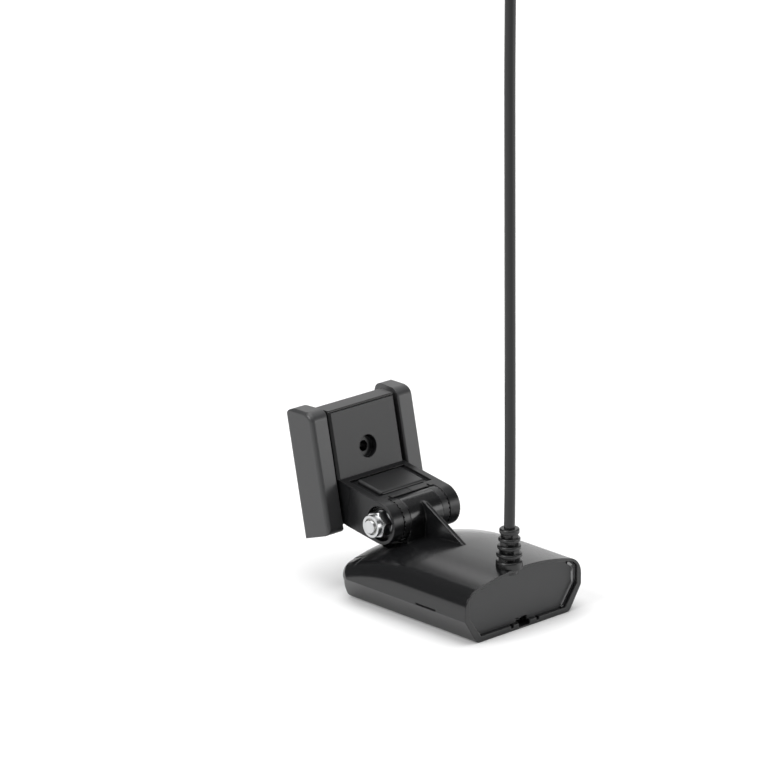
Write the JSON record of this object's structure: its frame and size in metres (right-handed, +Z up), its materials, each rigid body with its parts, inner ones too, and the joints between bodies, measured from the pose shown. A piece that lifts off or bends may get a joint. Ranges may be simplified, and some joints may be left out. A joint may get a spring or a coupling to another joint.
{
  "type": "sonar transducer",
  "caption": "Wedge-shaped sonar transducer with a potted housing, a cable in a ribbed boot, and a tilting arm on a kick-up transom bracket.",
  "frame": {"origin": "middle of the flat underside of the housing, on the plane it rests on", "axes": "+X aft towards the flat end of the housing, +Y to starboard, +Z up along the cable"},
  "size_m": [0.1269, 0.0736, 0.336],
  "materials": {
    "housing": "satin black",
    "potting": "flat, slightly shiny at its edge",
    "element": "fired, matt",
    "backing": "matt cork-rubber",
    "board": "lacquered",
    "copper": "bright",
    "probe": "dark",
    "boot": "matt black",
    "cable": "matt dark grey",
    "connector": "moulded",
    "contacts": "bright",
    "seal": "matt",
    "steel": "bright",
    "nylon": "translucent white",
    "ratchet": "moulded",
    "arm": "satin black",
    "cover": "satin black",
    "bracket": "satin black"
  },
  "bodies": {
    "transducer": {"transducer_housing": "housing", "potting_resin": "potting", "sonar_disc": "element", "disc_backing": "backing", "imaging_bar": "element", "bar_backing": "backing", "signal_board": "board", "element_leads": "copper", "temperature_probe": "probe", "cable_boot": "boot", "cable_stub": "cable", "cable": "cable", "connector_body": "connector", "connector_collar": "connector", "connector_insert": "connector", "connector_contacts": "contacts", "connector_seal": "seal"},
    "arm": {"pivot_bolt": "steel", "head_washer": "steel", "nut_washer": "steel", "lock_nut": "steel", "nut_insert": "nylon", "port_ratchet": "ratchet", "starboard_ratchet": "ratchet", "pivot_arm": "arm", "arm_cover": "cover"},
    "bracket": {"mounting_bracket": "bracket"}
  },
  "joints": [
    {"name": "tilt", "type": "hinge", "parent": "transducer", "child": "arm", "pos_m": [-0.0321, 0, 0.0359], "axis": [0, 1, 0], "range_deg": [-15, 45]},
    {"name": "kick_up", "type": "hinge", "parent": "arm", "child": "bracket", "pos_m": [-0.07076, 0, 0.07615], "axis": [0, 1, 0], "range_deg": [0, 85]}
  ]
}
